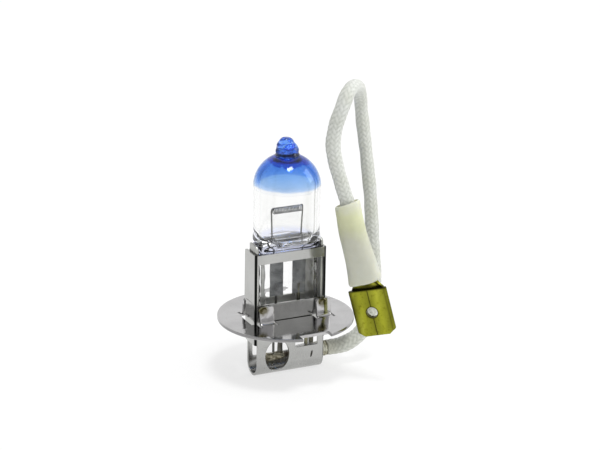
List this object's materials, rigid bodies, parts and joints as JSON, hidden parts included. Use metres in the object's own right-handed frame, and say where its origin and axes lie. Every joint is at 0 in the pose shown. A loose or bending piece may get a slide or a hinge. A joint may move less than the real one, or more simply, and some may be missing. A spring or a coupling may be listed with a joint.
{
  "type": "headlight bulb",
  "caption": "Halogen headlight bulb: blue-topped quartz capsule in a windowed sheet clamp on a round flange, with a trough below and a sleeved lead to a blade terminal.",
  "frame": {"origin": "on the lamp axis, in the upper (front) face of the round flange, which is the reference plane", "axes": "+Z along the lamp axis towards the glass tip, +X along the filament towards the lead side, -Y the windowed front of the clamp"},
  "size_m": [0.0268, 0.0238, 0.0488],
  "materials": {
    "quartz_glass": "clear, polished",
    "blue_filter": "transparent blue coat",
    "tungsten_wire": "dull grey wire",
    "molybdenum": "dark grey foil and wire",
    "polished_nickel": "bright nickel plate",
    "nickel_sheet": "bright nickel-plated sheet, faint rolling lines",
    "crimp_bronze": "dull bronze",
    "copper_strand": "twisted copper strand",
    "lead_end_resin": "resin-soaked braid end",
    "glass_fibre_braid": "off-white glass-fibre braid",
    "silicone_sleeve": "ivory silicone, satin",
    "terminal_brass": "olive brass, lightly tarnished"
  },
  "bodies": {
    "root": {"glass_envelope": "quartz_glass", "blue_filter_coat": "blue_filter", "exhaust_tip": "blue_filter", "filament_coil": "tungsten_wire", "support_leg_left": "tungsten_wire", "support_leg_right": "tungsten_wire", "molybdenum_foil_left": "molybdenum", "molybdenum_foil_right": "molybdenum", "outer_lead_live": "molybdenum", "outer_lead_ground": "molybdenum", "flange": "polished_nickel", "front_clamp": "nickel_sheet", "rear_clamp": "nickel_sheet", "splice_crimp": "crimp_bronze", "splice_strip": "crimp_bronze", "conductor_at_base": "copper_strand", "conductor_at_terminal": "copper_strand", "lead_ferrule": "lead_end_resin", "lead_braid": "glass_fibre_braid", "terminal_sleeve": "silicone_sleeve", "blade_terminal": "terminal_brass"}
  },
  "joints": []
}
